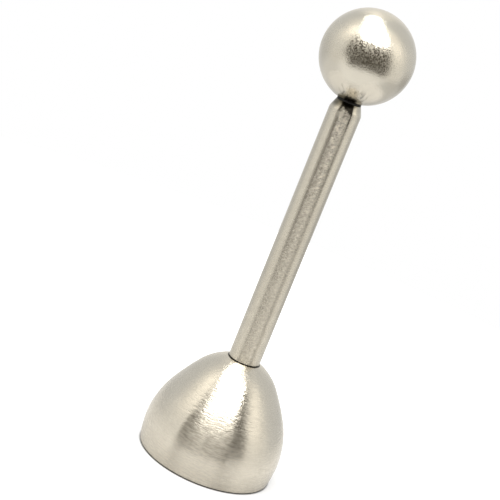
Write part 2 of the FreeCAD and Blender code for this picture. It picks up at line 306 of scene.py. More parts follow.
flag_finish = bpy.data.materials.new("flag_black")
black = Tree(flag_finish)
dark = black.add("ShaderNodeEmission", None, {"Color": FLAG_GREY})
black.add("ShaderNodeOutputMaterial", None, {"Surface": dark})
card = bmesh.new()
facing_axis = Vector((FLAG_PLACE.x, FLAG_PLACE.y, 0)).to_track_quat("Z", "Y").to_matrix().to_4x4()
cut_to_size = Matrix.Diagonal((FLAG_WIDTH, FLAG_LENGTH, 1, 1))
placed = Matrix.Translation(FLAG_PLACE) @ facing_axis @ Matrix.Rotation(FLAG_LEAN, 4, "Z") @ cut_to_size
bmesh.ops.create_grid(card, x_segments=1, y_segments=1, size=0.5, matrix=placed)
flag = stage_piece("black_flag", card, flag_finish)
flag.visible_camera = False
flag.visible_diffuse = False
print("panel hung with", len(panel.data.vertices), "corners, flag", round(FLAG_PLACE.z / MM), "mm up")

# %% [markdown]
# ## The table
# The tool stands on a round white table. The camera sees it lit to plain white, and only the tool's shadow
# shows. The metal sees it near the tool's foot, and sees the tent beyond that. Its glow as the metal sees it
# is painted shade: dimmer near the foot and in front, and a little brighter to the right. The table is clear
# from below and clear within the rim, so that the inside of the bell can be looked at and gets its light.

# %% Lay the table
TABLE_RADIUS = 300 * MM
TABLE_WHITE = 0.33
TABLE_GLOW = 0.58
TABLE_CONTACT = 19.1         # in millimetres, where the bell's rim stands
TABLE_NEAR = 58.0            # in millimetres, from the axis

table_finish = bpy.data.materials.new("table_white")
paint = Tree(table_finish)
camera_ray, glossy_ray, seen = seen_rays(paint)
matt = paint.add("ShaderNodeBsdfDiffuse", None, {"Color": (TABLE_WHITE, TABLE_WHITE, TABLE_WHITE, 1.0)})
across, along, _ = paint.parts(paint.millimetres())
from_axis = paint.length(across, along)
contact = from_axis.ease(TABLE_CONTACT, TABLE_CONTACT + 0.7)
rightward, backward = across / from_axis.larger(1.0), along / from_axis.larger(1.0)
# Painted shade in the glow that the metal sees: dimmer near the foot and in front, a little brighter to the
# right.
in_front = (0.0 - backward - rightward * 0.15).ease(0.70, 0.92) * 0.45
shaded = (1.0 - from_axis.ease(22.0, 62.0) * 0.34) * (1.0 - in_front) * (1.0 + rightward * 0.12)
near_fill = from_axis.ease(TABLE_CONTACT - 13, TABLE_NEAR - 18) * shaded * TABLE_GLOW
camera_fill = from_axis.ease(TABLE_CONTACT, 4 * TABLE_CONTACT) * 0.40 + 0.60
fill = contact * near_fill.larger(camera_ray * camera_fill)
glow = paint.add("ShaderNodeEmission", None, {"Color": (*WHITE, 1.0), "Strength": seen * fill})
lit = paint.add("ShaderNodeAddShader", None, {0: matt, 1: glow})
underside = paint.add("ShaderNodeNewGeometry", out="Backfacing")
aside = rightward.maths("ABSOLUTE", rightward) + backward.larger(0.0) + rightward.larger(0.0) * 0.6
past_edge = (from_axis - aside.ease(0.68, 0.85) * 66.0).ease(TABLE_NEAR - 2, TABLE_NEAR + 2)
under_bell = from_axis.ease(TABLE_CONTACT - 1.2, TABLE_CONTACT - 1.6)
see_through = underside.larger(glossy_ray * past_edge).larger(under_bell)
clear = paint.add("ShaderNodeBsdfTransparent")
surface = paint.add("ShaderNodeMixShader", None, {0: see_through, 1: lit, 2: clear})
paint.add("ShaderNodeOutputMaterial", None, {"Surface": surface})
table_top = bmesh.new()
bmesh.ops.create_circle(table_top, cap_ends=True, segments=128, radius=TABLE_RADIUS)
stage_piece("table", table_top, table_finish)
print("table laid,", round(TABLE_RADIUS / MM), "mm in radius")

# %% [markdown]
# ## The camera
# The tool leans in the frame although it stands upright, because the camera is turned about its own axis.
# A long lens about 40 cm away keeps the handle's sides nearly parallel.

# %% Place the camera
CAMERA_PLACE = Vector((-9.733, -369.289, 153.829)) * MM
CAMERA_TILT = 14.094         # degrees below the horizon
CAMERA_ROLL = 21.802         # degrees about its own axis
CAMERA_LENS = 100.8

camera_data = bpy.data.cameras.new("camera")
camera_data.lens = CAMERA_LENS
camera = bpy.data.objects.new("camera", camera_data)
aim = Matrix.Rotation(math.radians(90 - CAMERA_TILT), 4, "X")
roll = Matrix.Rotation(math.radians(CAMERA_ROLL), 4, "Z")
camera.matrix_world = Matrix.Translation(CAMERA_PLACE) @ aim @ roll
bpy.context.scene.collection.objects.link(camera)
bpy.context.scene.camera = camera
bpy.context.scene.view_settings.view_transform = "Standard"
print("camera placed", [round(value / MM) for value in CAMERA_PLACE])

# %% [markdown]
# ## A helper for turned pieces
# A lathe makes a round piece from an outline. The helper draws the outline with a single point: a straight
# cut extrudes it, a rounded cut spins it about the arc's centre, and at the end the whole line is spun once
# round the axis. Sharp corners are then bevelled a little, because no real edge is perfectly sharp.

# %% The lathe
FULL_TURN = 2 * math.pi
SEGMENTS = 96                # round a small piece
FINE_SEGMENTS = 160          # round the bell and the ball
ARC_STEP = math.radians(3)
CREASE = math.radians(32)
EDGE = 0.3 * MM
SMALL_EDGE = 0.08 * MM
MERGE = 0.002 * MM           # points closer than this are one point


class Lathe:
    """An outline in the half-plane of radius and height, and the turned piece that it makes."""

    def __init__(self, radius, height):
        self.mesh = bmesh.new()
        self.tip = bmesh.ops.create_vert(self.mesh, co=(radius, 0, height))["vert"][0]

    def line(self, radius, height):
        self.tip = bmesh.ops.extrude_vert_indiv(self.mesh, verts=[self.tip])["verts"][0]
        self.tip.co = (radius, 0, height)
        return self

    def arc(self, centre, end):
        """A rounded cut about a centre to an end, both as (radius, height), by the short way."""
        begin = math.atan2(self.tip.co.z - centre[1], self.tip.co.x - centre[0])
        finish = math.atan2(end[1] - centre[1], end[0] - centre[0])
        sweep = math.remainder(finish - begin, FULL_TURN)
        steps = max(4, math.ceil(abs(sweep) / ARC_STEP))
        turn = {"cent": (centre[0], 0, centre[1]), "axis": (0, -1, 0), "angle": sweep, "steps": steps}
        made = bmesh.ops.spin(self.mesh, geom=[self.tip], **turn)
        self.tip = next(v for v in made["geom_last"] if isinstance(v, bmesh.types.BMVert))
        self.tip.co = (end[0], 0, end[1])
        return self

    def spun(self, segments=SEGMENTS, edge=0.0):
        """Spins the outline once round the axis and returns the closed mesh."""
        outline = self.mesh.verts[:] + self.mesh.edges[:]
        full = {"cent": (0, 0, 0), "axis": (0, 0, 1), "angle": FULL_TURN, "steps": segments}
        bmesh.ops.spin(self.mesh, geom=outline, use_merge=True, **full)
        bmesh.ops.remove_doubles(self.mesh, verts=self.mesh.verts, dist=MERGE)
        bmesh.ops.recalc_face_normals(self.mesh, faces=self.mesh.faces)
        if edge:
            soften(self.mesh, edge)
        return self.mesh


def soften(mesh, width):
    """Bevels every edge that turns a corner."""
    corners = [edge for edge in mesh.edges if len(edge.link_faces) == 2 and edge.calc_face_angle() > CREASE]
    shape = {"affect": "EDGES", "segments": 3, "profile": 0.5, "material": -1, "clamp_overlap": True}
    bmesh.ops.bevel(mesh, geom=corners, offset=width, **shape)


def finished(name, mesh):
    """A Blender object from a bmesh, shaded smooth across everything but its creases."""
    data = bpy.data.meshes.new(name)
    mesh.to_mesh(data)
    mesh.free()
    data.shade_smooth()
    data.set_sharp_from_angle(angle=CREASE)
    piece = bpy.data.objects.new(name, data)
    bpy.context.scene.collection.objects.link(piece)
    return piece


def fit(piece, node, body, finish):
    """Puts a piece in its node's place: it rides on the body, wears the finish and hides the node."""
    piece.data.materials.append(finish)
    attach(piece, body)
    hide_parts(node)
    print(f"{piece.name}: {len(piece.data.polygons)} faces for {node}")


# %% [markdown]
# ## Satin steel on the bell
# The bell is held against a turning belt, so its scratches run round the axis. Each scratch spreads light
# across itself, up and down the bell, which smears the panel into a long streak. Scratches too fine to see
# are an anisotropic gloss, and the ones that can be seen are a bump. The pattern is laid out in three
# numbers that follow the surface: the two of the unit circle round the axis, and a level along the wall.
# On that circle x is 1 at the tool's right and y is -1 at its front.
#
# The ball is polished to a satin with fine specks round its middle. Under it, round the neck, painted shade
# greys it, most at the front, with short scuff strokes in it. The tube is brushed and then worn by the hand:
# its front is scuffed in a soft mottle and the swage above is burnished by the die. Painted shade darkens
# its mouth under the ball and its foot where it meets the bell, painted dark reflections run down the
# swage's front, and a painted sheen lightens a band on its front right.

# %% Finishes for the outside
STEEL = (0.73, 0.68, 0.575)
STEEL_SHADE = (0.66, 0.61, 0.515)
BELL_STEEL = (0.75, 0.698, 0.593)
BELL_SHADE = (0.68, 0.632, 0.537)
# Near black, painted into the colour as shade in creases and as dark reflections.
PAINTED_SHADE = (0.030, 0.026, 0.020)
UNDER_BALL_SHADE = (0.15, 0.135, 0.10)
PAINTED_SHEEN = (0.95, 0.89, 0.76)
NECK_SHADE_AND_SCUFF_GREY = (0.13, 0.124, 0.108)


def steel_output(tree, colour, roughness, normal, anisotropic=0.0, metallic=1.0):
    """The metal shader. Its brushing runs round Z, so the gloss is turned a quarter across it."""
    sockets = {"Base Color": colour, "Metallic": metallic, "Roughness": roughness, "Normal": normal,
               "Anisotropic": anisotropic, "Anisotropic Rotation": 0.25 if anisotropic else 0.0}
    metal = tree.add("ShaderNodeBsdfPrincipled", None, sockets)
    tree.add("ShaderNodeOutputMaterial", None, {"Surface": metal})


def brushed_output(tree, colour, scratched, roughness, normal):
    """Two glosses: the smooth ground of the steel, and the scratches that smear light up and down."""
    shared = {"Base Color": colour, "Metallic": 1.0, "Normal": normal, "Anisotropic Rotation": 0.25}
    smooth = {"Roughness": roughness, "Anisotropic": 0.8, **shared}
    smeared = {"Roughness": roughness + 0.20, "Anisotropic": 1.0, **shared}
    glosses = [tree.add("ShaderNodeBsdfPrincipled", None, sockets) for sockets in (smooth, smeared)]
    surface = tree.add("ShaderNodeMixShader", None, {0: scratched, 1: glosses[0], 2: glosses[1]})
    tree.add("ShaderNodeOutputMaterial", None, {"Surface": surface})


def bump(tree, height, depth):
    """A relief whose full height is depth, in metres."""
    return tree.add("ShaderNodeBump", None, {"Height": height, "Distance": depth, "Strength": 1.0})


def round_the_axis(tree, place, slope):
    """Unit circle round the axis, and a level along the wall: height less slope times radius."""
    x, y, z = tree.parts(place)
    radius = tree.length(x, y)
    safe = radius.larger(0.01)
    return x / safe, y / safe, z - slope * radius


def bell_finish():
    finish = bpy.data.materials.new("bell_brushed")
    tree = Tree(finish)
    place = tree.millimetres()
    circle_x, circle_y, level = round_the_axis(tree, place, 0.7)
    fine = tree.noise(tree.vector(circle_x * 9.0, circle_y * 9.0, level * 1.9), 1.0, 1.5, 0.6)
    coarse = tree.noise(tree.vector(circle_x * 4.0, circle_y * 4.0, level * 0.9), 1.0, 2.0, 0.6)
    cloud = tree.noise(place, 0.25, 2.0)
    colour = tree.colour(cloud.ease(0.35, 0.75) * 0.35, BELL_STEEL, BELL_SHADE)
    height = tree.parts(place)[2]
    # Painted shade: the land round the tube's foot and the underside of the rim are darkened where parts
    # meet.
    painted_crease_shade = height.ease(bell_top / MM - 0.12, bell_top / MM - 0.02).larger(height.ease(0.5, 0.25))
    colour = tree.colour(painted_crease_shade, colour, PAINTED_SHADE)
    scratched = (fine * 0.7 + coarse * 0.3).ease(0.38, 0.62) * 0.22 + 0.24
    scratched = scratched + height.ease(18.0, 12.0) * 0.10
    scratched = scratched + height.window(14.5, 18.0, 1.2) * circle_y.ease(-0.945, -0.98) * 0.14
    pressed = height.ease(9.5, 16.5) * 0.85 + 0.15
    relief = bump(tree, fine * pressed, 0.085 * MM)
    brushed_output(tree, colour, scratched, 0.155 + 0.05 * coarse + 0.03 * cloud, relief)
    return finish


def ball_finish():
    finish = bpy.data.materials.new("ball_satin")
    tree = Tree(finish)
    place = tree.millimetres()
    grain = tree.noise(place, 2.4, 1.0, 0.6)
    cloud = tree.noise(place, 0.22, 2.0)
    colour = tree.colour(cloud.ease(0.35, 0.75) * 0.30, STEEL, STEEL_SHADE)
    x, y, z = tree.parts(place)
    from_neck = tree.length(x, y)
    safe = from_neck.larger(0.01)
    front = 0.0 - y / safe
    below = z.ease(ball_centre / MM, ball_flat / MM)
    round_middle = (z - ball_centre / MM).window(-1.2, 6.0, 1.8) * 0.85 + 0.15
    specks = tree.noise(place, 2.7, 2.0, 0.7).ease(0.38, 0.72) * round_middle
    scuffs = tree.noise(tree.vector(x / safe * 11.0, y / safe * 11.0, from_neck * 0.55), 1.0, 1.0)
    strokes = from_neck.window(6.5, 10.0, 1.0) * scuffs.ease(0.50, 0.62) * front.ease(0.85, 0.97) * 0.55
    # Painted shade on the underside round the neck, strongest at the front, with short dark scuff strokes in
    # it.
    neck_shade_and_scuffs = from_neck.ease(10.6, 4.6) * (front.ease(0.86, 0.99) * 0.62 + 0.42) + strokes
    colour = tree.colour(below * neck_shade_and_scuffs, colour, NECK_SHADE_AND_SCUFF_GREY)
    steel_output(tree, colour, 0.15 + 0.34 * specks + 0.05 * cloud, bump(tree, grain, 0.040 * MM))
    return finish


def tube_colour(tree, circle_x, circle_y, level, fine, coarse):
    """Steel with a painted sheen on its front right, and painted shade and dark reflections under the ball,
    on the swage's front and at the foot.
    """
    mouth, foot, shoulder = tube_mouth / MM, tube_foot / MM, swage_start / MM
    colour = tree.colour(coarse.ease(0.35, 0.7) * 0.3, STEEL, STEEL_SHADE)
    # Painted sheen: a lighter band on the front right, at two heights.
    sheen_band = circle_x.window(0.23, 0.41, 0.06) * circle_y.ease(-0.60, -0.80)
    sheen_band = sheen_band * (level.ease(90.0, 62.0) * 0.40 + level.ease(48.0, 36.0) * 0.45)
    colour = tree.colour(sheen_band, colour, PAINTED_SHEEN)
    # Painted shade under the ball: the last two millimetres below the mouth are darkened, less on the right
    # side.
    shaded_by_ball = level.ease(mouth - 2.7, mouth - 0.8) * (0.25 + 0.7 * circle_x.ease(0.75, 0.2))
    colour = tree.colour(shaded_by_ball, colour, UNDER_BALL_SHADE)
    # Painted dark reflection: a ragged dark streak down the front of the swage.
    front = circle_y.ease(-0.82, -0.90)
    ragged = level + circle_x * 2.6 + (fine - 0.5) * 2.4
    stain_and_painted_shade = ragged.ease(shoulder + 0.9, mouth - 1.3) * (0.6 + 0.6 * fine) * circle_x.ease(0.46, 0.40)
    colour = tree.colour(front * stain_and_painted_shade, colour, PAINTED_SHADE)
    # Painted dark reflection: a thin dark line on the front right, below the mouth.
    dark_line = circle_x.window(0.385, 0.43, 0.025) * level.ease(100.5, 104.0)
    colour = tree.colour(front * dark_line * 0.92, colour, PAINTED_SHADE)
    # Painted shade in the crease where the tube's foot meets the bell.
    return tree.colour(level.ease(foot + 0.42, foot + 0.18), colour, PAINTED_SHADE)


def tube_scratches(circle_x, circle_y, level, fine, coarse, burnished):
    """How thickly the scratches lie: least at the front's sides, most where the hand has rubbed."""
    shoulder = swage_start / MM
    straight = level.ease(shoulder + 0.2, shoulder - 1.0)
    spared_left = circle_x.ease(-0.14, -0.32) * 0.72 * level.ease(56.0, 76.0)
    spared_right = circle_x.ease(0.34, 0.42) * 0.6 * level.ease(70.0, 90.0)
    gripped = level.ease(64.0, 82.0) * 0.12 + level.ease(92.0, 102.0) * 0.15
    pale = circle_x.window(-0.25, -0.02, 0.05) * level.window(98.0, 106.0, 2.0) * 0.95
    rubbed = 0.82 + circle_x.ease(-0.15, 0.30) * 0.75 + circle_x.ease(0.20, 0.34) * 0.50
    rubbed = rubbed - circle_x.ease(0.50, 0.66)
    rubbed = rubbed * (1.0 - (spared_left + spared_right) * straight) * (1.0 + gripped * straight + pale)
    brushed = (fine * 0.75 + coarse * 0.25).ease(0.34, 0.66) * 0.38 + 0.20 + level.ease(50.0, 33.0) * 0.07
    flecks = circle_x.window(-0.46, -0.06, 0.07) * circle_y.ease(-0.70, -0.80)
    flecks = flecks * level.window(104.3, 106.9, 0.6) * coarse.ease(0.25, 0.60) * 0.55
    return brushed * rubbed * (1.0 - 0.85 * burnished) + flecks


def tube_finish():
    finish = bpy.data.materials.new("tube_brushed")
    tree = Tree(finish)
    circle_x, circle_y, level = round_the_axis(tree, tree.millimetres(), 0.0)
    skew = level - circle_x * 0.8
    fine = tree.noise(tree.vector(circle_x * 6.5, circle_y * 6.5, skew * 2.3), 1.0, 2.5, 0.6)
    coarse = tree.noise(tree.vector(circle_x * 2.0, circle_y * 2.0, skew * 0.5), 1.0, 2.0, 0.6)
    burnished = level.ease(swage_start / MM + 0.3, swage_start / MM + 1.3)
    colour = tube_colour(tree, circle_x, circle_y, level, fine, coarse)
    scratched = tube_scratches(circle_x, circle_y, level, fine, coarse, burnished)
    roughness = 0.22 + 0.08 * fine - 0.12 * burnished
    brushed_output(tree, colour, scratched, roughness, bump(tree, fine, 0.016 * MM))
    return finish


# %% [markdown]
# ## Finishes of the working parts
# What is inside is plainer than the outside, yet each part shows how it was made: turning marks round the
# axis on the striker and the plug, a drawn shine on the rod and the wire, pale zinc on the screw, and the
# grey bloom that a press leaves inside the bell.

# %% Finishes for the inside
PRESSED_STEEL = (0.56, 0.53, 0.47)
PRESSED_SHADE = (0.42, 0.39, 0.34)
RUBBER_BLACK = (0.012, 0.011, 0.010)
RUBBER_GREY = (0.035, 0.033, 0.030)


def darker(colour):
    return tuple(0.72 * part for part in colour)


def turned_finish(name, colour, roughness, marks_per_mm, depth):
    """Fine grooves left by a cutting tool, which run round the axis."""
    finish = bpy.data.materials.new(name)
    tree = Tree(finish)
    place = tree.millimetres()
    circle_x, circle_y, level = round_the_axis(tree, place, 0.6)
    grooves = tree.noise(tree.vector(circle_x * 0.6, circle_y * 0.6, level * marks_per_mm), 1.0, 2.0, 0.6)
    stain_and_painted_shade = tree.noise(place, 0.6, 3.0, 0.6)
    paint = tree.colour(stain_and_painted_shade.ease(0.42, 0.75) * 0.6, colour, darker(colour))
    steel_output(tree, paint, roughness + 0.12 * stain_and_painted_shade, bump(tree, grooves, depth), 0.5)
    return finish


def plated_finish(name, colour, roughness):
    """A plated or drawn surface: a soft gloss with small clouds and a fine grain."""
    finish = bpy.data.materials.new(name)
    tree = Tree(finish)
    place = tree.millimetres()
    cloud = tree.noise(place, 0.9, 3.0, 0.6)
    grain = tree.noise(place, 6.0, 2.0, 0.6)
    paint = tree.colour(cloud.ease(0.4, 0.75) * 0.7, colour, darker(colour))
    steel_output(tree, paint, roughness + 0.15 * cloud, bump(tree, grain, 0.006 * MM))
    return finish


def inside_finish():
    """The bell's inside as the press left it: dull, with faint lines that run up towards the crown."""
    finish = bpy.data.materials.new("bell_inside")
    tree = Tree(finish)
    place = tree.millimetres()
    circle_x, circle_y, level = round_the_axis(tree, place, 0.7)
    drawn = tree.noise(tree.vector(circle_x * 16.0, circle_y * 16.0, level * 0.12), 1.0, 3.0, 0.6)
    cloud = tree.noise(place, 0.2, 3.0, 0.6)
    orange_peel = tree.noise(place, 1.6, 2.0, 0.5)
    colour = tree.colour(cloud.ease(0.3, 0.75) * 0.6, PRESSED_STEEL, PRESSED_SHADE)
    relief = bump(tree, drawn * 0.5 + orange_peel * 0.5, 0.02 * MM)
    steel_output(tree, colour, 0.36 + 0.14 * drawn, relief)
    return finish


def rubber_finish():
    """Black rubber, cut from sheet: matt, with a fine grain."""
    finish = bpy.data.materials.new("buffer_black")
    tree = Tree(finish)
    grain = tree.noise(tree.millimetres(), 9.0, 3.0, 0.6)
    colour = tree.colour(grain, RUBBER_BLACK, RUBBER_GREY)
    steel_output(tree, colour, 0.55 + 0.25 * grain, bump(tree, grain, 0.02 * MM), metallic=0.0)
    return finish


# %% [markdown]
# ## The bell
# A pressed shell 1 mm thick. Seen from the side its outline is four arcs that run smoothly into each other:
# a short lip that turns in to the rim, a belly, a nearly straight flank and a tighter crown. The same four
# arcs, 1 mm further in, are the inside.

# %% Turn the bell
BELL_WALL = 1.0 * MM
BELLY_HEIGHT = 6.0 * MM
RIM_INSET = 0.65 * MM
BELLY_RADIUS = 25.5 * MM
FLANK_RADIUS = 75.0 * MM
CROWN_RADIUS = 16.0 * MM
FLANK_START = 29.3           # degrees that the wall leans in where the belly meets the flank
FLANK_END = 36.0             # and where the flank meets the crown
RIM_ROUND = 0.3 * MM
LAND_MARGIN = 0.1 * MM
SCREW_HOLE = 2.3 * MM


def polar(centre, radius, lean):
    """The point of an arc where its wall leans in by the given degrees."""
    angle = math.radians(lean)
    return centre[0] + radius * math.cos(angle), centre[1] + radius * math.sin(angle)


lip_radius = (BELLY_HEIGHT**2 + RIM_INSET**2) / (2 * RIM_INSET)
lip_centre = (bell_radius - lip_radius, BELLY_HEIGHT)
belly_centre = (bell_radius - BELLY_RADIUS, BELLY_HEIGHT)
flank_centre = polar(belly_centre, BELLY_RADIUS - FLANK_RADIUS, FLANK_START)
crown_centre = polar(flank_centre, FLANK_RADIUS - CROWN_RADIUS, FLANK_END)
outer_land = tube_radius + LAND_MARGIN
inner_land = outer_radius("flat_washer") + LAND_MARGIN
crown_inside = levels("flat_washer")[1]
rim_outside = bell_radius - RIM_INSET
rim_flat = rim_outside - RIM_ROUND
rim_inside = lip_centre[0] + math.sqrt((lip_radius - BELL_WALL) ** 2 - BELLY_HEIGHT**2)

cut = Lathe(rim_flat, bell_bottom).arc((rim_flat, RIM_ROUND), (rim_outside, RIM_ROUND))
cut.arc(lip_centre, (bell_radius, BELLY_HEIGHT))
cut.arc(belly_centre, polar(flank_centre, FLANK_RADIUS, FLANK_START))
cut.arc(flank_centre, polar(flank_centre, FLANK_RADIUS, FLANK_END)).arc(crown_centre, (outer_land, bell_top))
cut.line(SCREW_HOLE, bell_top).line(SCREW_HOLE, crown_inside).line(inner_land, crown_inside)
cut.arc(crown_centre, polar(flank_centre, FLANK_RADIUS - BELL_WALL, FLANK_END))
cut.arc(flank_centre, polar(flank_centre, FLANK_RADIUS - BELL_WALL, FLANK_START))
cut.arc(belly_centre, (bell_radius - BELL_WALL, BELLY_HEIGHT)).arc(lip_centre, (rim_inside, bell_bottom))
shell = cut.line(rim_flat, bell_bottom).spun(segments=FINE_SEGMENTS)
for face in shell.faces:
    centre = face.calc_center_median()
    outward = Vector((centre.x, centre.y, 0)).normalized()
    faces_in = face.normal.dot(outward) < -0.05
    under_crown = face.normal.z < -0.5 and centre.z > BELLY_HEIGHT
    face.material_index = 1 if faces_in or under_crown else 0
bell = finished("bell_shell", shell)
fit(bell, "bell", "handle", bell_finish())
bell.data.materials.append(inside_finish())

# %% [markdown]
# ## The handle tube
# Drawn tube, cut square at the foot. Its top is swaged: a die rolls the wall in over a small arc and then
# along a cone, until only the rod's hole is left. The inside follows the outside at the wall's thickness.

# %% Turn the tube
TUBE_WALL = 0.8 * MM
SHOULDER_RADIUS = 2.5 * MM
SWAGE_ANGLE = math.radians(22)
MOUTH_GAP = 0.62 * MM
FOOT_CHAMFER = 0.2 * MM
TUBE_EDGE = 0.06 * MM

bore_radius = tube_radius - TUBE_WALL
mouth_radius = rod_radius + MOUTH_GAP
land_radius = mouth_radius + TUBE_WALL / math.cos(SWAGE_ANGLE)
cone_foot = tube_radius - SHOULDER_RADIUS * (1 - math.cos(SWAGE_ANGLE))
cone_rise = (cone_foot - land_radius) / math.tan(SWAGE_ANGLE)
swage_start = tube_mouth - cone_rise - SHOULDER_RADIUS * math.sin(SWAGE_ANGLE)
shoulder_centre = (tube_radius - SHOULDER_RADIUS, swage_start)


def on_shoulder(radius):
    """Where the shoulder's arc turns into the cone, for an arc of that radius."""
    return polar(shoulder_centre, radius, math.degrees(SWAGE_ANGLE))


cut = Lathe(bore_radius, tube_foot).line(tube_radius - FOOT_CHAMFER, tube_foot)
cut.line(tube_radius, tube_foot + FOOT_CHAMFER).line(tube_radius, swage_start)
cut.arc(shoulder_centre, on_shoulder(SHOULDER_RADIUS)).line(land_radius, tube_mouth)
cut.line(mouth_radius, tube_mouth).line(*on_shoulder(SHOULDER_RADIUS - TUBE_WALL))
cut.arc(shoulder_centre, (bore_radius, swage_start)).line(bore_radius, tube_foot)
tube = finished("tube_drawn", cut.spun(edge=TUBE_EDGE))
fit(tube, "handle_tube", "handle", tube_finish())

# %% [markdown]
# ## The ball
# A solid steel ball with a small flat turned on its underside, drilled and tapped for the rod.

# %% Turn the ball
BALL_EDGE = 0.12 * MM
THREAD_HOLE = 1.8 * MM
DRILL_ROOM = 1.0 * MM        # how much deeper a hole is than what is screwed in
DRILL_TIP = 1.0 * MM         # the cone that the drill leaves above that

hole_top = rod_top + DRILL_ROOM
cut = Lathe(0, hole_top + DRILL_TIP).line(THREAD_HOLE, hole_top).line(THREAD_HOLE, ball_flat)
cut.line(land_radius, ball_flat).arc((0, ball_centre), (ball_radius, ball_centre))
cut.arc((0, ball_centre), (0, ball_crown))
ball = finished("ball_solid", cut.spun(segments=FINE_SEGMENTS, edge=BALL_EDGE))
fit(ball, "ball_knob", "plunger", ball_finish())

# %% [markdown]
# ## Coils and threads
# A spring and a screw thread are the same move: a small section goes round the axis and climbs as it goes.
# The section is a closed loop of a few points. Each step is one short spin, so the climb can change on the
# way, as it does where a spring's closed end coils open out.

# %% The winding helper
STEPS_PER_TURN = 36


def loop_of(mesh, points):
    """A closed loop of edges through points in the half-plane of radius and height."""
    corners = [bmesh.ops.create_vert(mesh, co=(radius, 0, height))["vert"][0] for radius, height in points]
    return corners + [mesh.edges.new(pair) for pair in zip(corners, corners[1:] + corners[:1])]


def edges_of(geometry):
    return [part for part in geometry if isinstance(part, bmesh.types.BMEdge)]


def wind(mesh, section, climbs):
    """Sweeps a section round Z and caps its ends. A climb is a number of steps and their rise per turn."""
    ends = edges_of(section)
    for steps, lead in climbs:
        turn = {"cent": (0, 0, 0), "axis": (0, 0, 1), "dvec": (0, 0, lead / STEPS_PER_TURN)}
        angle = FULL_TURN * steps / STEPS_PER_TURN
        section = bmesh.ops.spin(mesh, geom=section, angle=angle, steps=steps, **turn)["geom_last"]
    bmesh.ops.holes_fill(mesh, edges=ends + edges_of(section))
    bmesh.ops.recalc_face_normals(mesh, faces=mesh.faces)


THREAD_PITCH = 0.7 * MM
THREAD_DEPTH = 0.43 * MM
THREAD_ROOT = 0.1 * MM       # how deep a ridge's foot is sunk into its cylinder
RIDGE_HALF = 0.47 * THREAD_PITCH
CREST_HALF = 0.06 * THREAD_PITCH


def add_thread(mesh, radius, bottom, top):
    """A sharp ridge that winds up a plain cylinder, whose surface is the thread's root."""
    foot = radius - THREAD_DEPTH - THREAD_ROOT
    middle = bottom + RIDGE_HALF
    section = [(foot, bottom), (radius, middle - CREST_HALF), (radius, middle + CREST_HALF)]
    section.append((foot, middle + RIDGE_HALF))
    turns = (top - bottom) / THREAD_PITCH - 1
    wind(mesh, loop_of(mesh, section), [(round(turns * STEPS_PER_TURN), THREAD_PITCH)])


# %% [markdown]
# ## The rod and the buffer
# A polished rod, 4 mm thick, runs from the striker up into the ball and shows when the ball is pulled. Its
# ends are threaded. Under the ball sits a thin black washer, so that steel doesn't click on steel.

# %% Make the rod and the buffer
ROD_EDGE = 0.2 * MM
ROD_SEGMENTS = 64
WASHER_EDGE = 0.1 * MM
GREY_STEEL = (0.62, 0.60, 0.57)
ROD_CLEARANCE = 0.05 * MM

thread_root = rod_radius - THREAD_DEPTH
cut = Lathe(0, rod_bottom).line(thread_root - ROD_EDGE, rod_bottom).line(thread_root, rod_bottom + ROD_EDGE)
cut.line(thread_root, striker_top).line(rod_radius, striker_top).line(rod_radius, ball_flat)
cut.line(thread_root, ball_flat).line(thread_root, rod_top - ROD_EDGE)
shank = cut.line(thread_root - ROD_EDGE, rod_top).line(0, rod_top).spun(segments=ROD_SEGMENTS)
add_thread(shank, rod_radius, rod_bottom + ROD_EDGE, striker_top)
add_thread(shank, rod_radius, ball_flat, rod_top - ROD_EDGE)
rod = finished("rod_polished", shank)
fit(rod, "pull_rod", "plunger", turned_finish("rod_bright", STEEL, 0.12, 14.0, 0.0015 * MM))


def washer_mesh(node, hole):
    """A flat ring as wide and as thick as its node."""
    bottom, top = levels(node)
    radius = outer_radius(node)
    cut = Lathe(hole, bottom).line(radius, bottom).line(radius, top).line(hole, top).line(hole, bottom)
    return cut.spun(edge=WASHER_EDGE)


rod_hole = rod_radius + ROD_CLEARANCE
buffer = finished("buffer_ring", washer_mesh("buffer_washer", rod_hole))
fit(buffer, "buffer_washer", "plunger", rubber_finish())

# %% [markdown]
# ## Striker, seat and bush
# The striker is the weight that the spring throws down. It is turned from bar, with a flat nose, and tapped
# for the rod. A thin washer lets it turn under the spring. At the top a brass bush guides the rod.

# %% Turn the striker, the seat and the bush
STRIKER_NOSE = 0.9 * MM
DRILL_CONE = 0.6             # height of a drilled hole's cone against its radius
PRESS_GAP = 0.01 * MM
BRASS = (0.70, 0.52, 0.24)

striker_radius = outer_radius("striker")
hole_floor = rod_bottom - DRILL_ROOM
cut = Lathe(0, striker_bottom).line(striker_radius - STRIKER_NOSE, striker_bottom)
cut.line(striker_radius, striker_bottom + STRIKER_NOSE).line(striker_radius, striker_top)
cut.line(THREAD_HOLE, striker_top).line(THREAD_HOLE, hole_floor)
cut.line(0, hole_floor - THREAD_HOLE * DRILL_CONE)
turned = turned_finish("striker_turned", GREY_STEEL, 0.28, 7.0, 0.008 * MM)
fit(finished("striker_weight", cut.spun(edge=EDGE)), "striker", "plunger", turned)

seat = finished("spring_washer_seat", washer_mesh("spring_seat", rod_hole))
seat_finish = turned_finish("seat_turned", GREY_STEEL, 0.26, 5.0, 0.006 * MM)
fit(seat, "spring_seat", "slider", seat_finish)

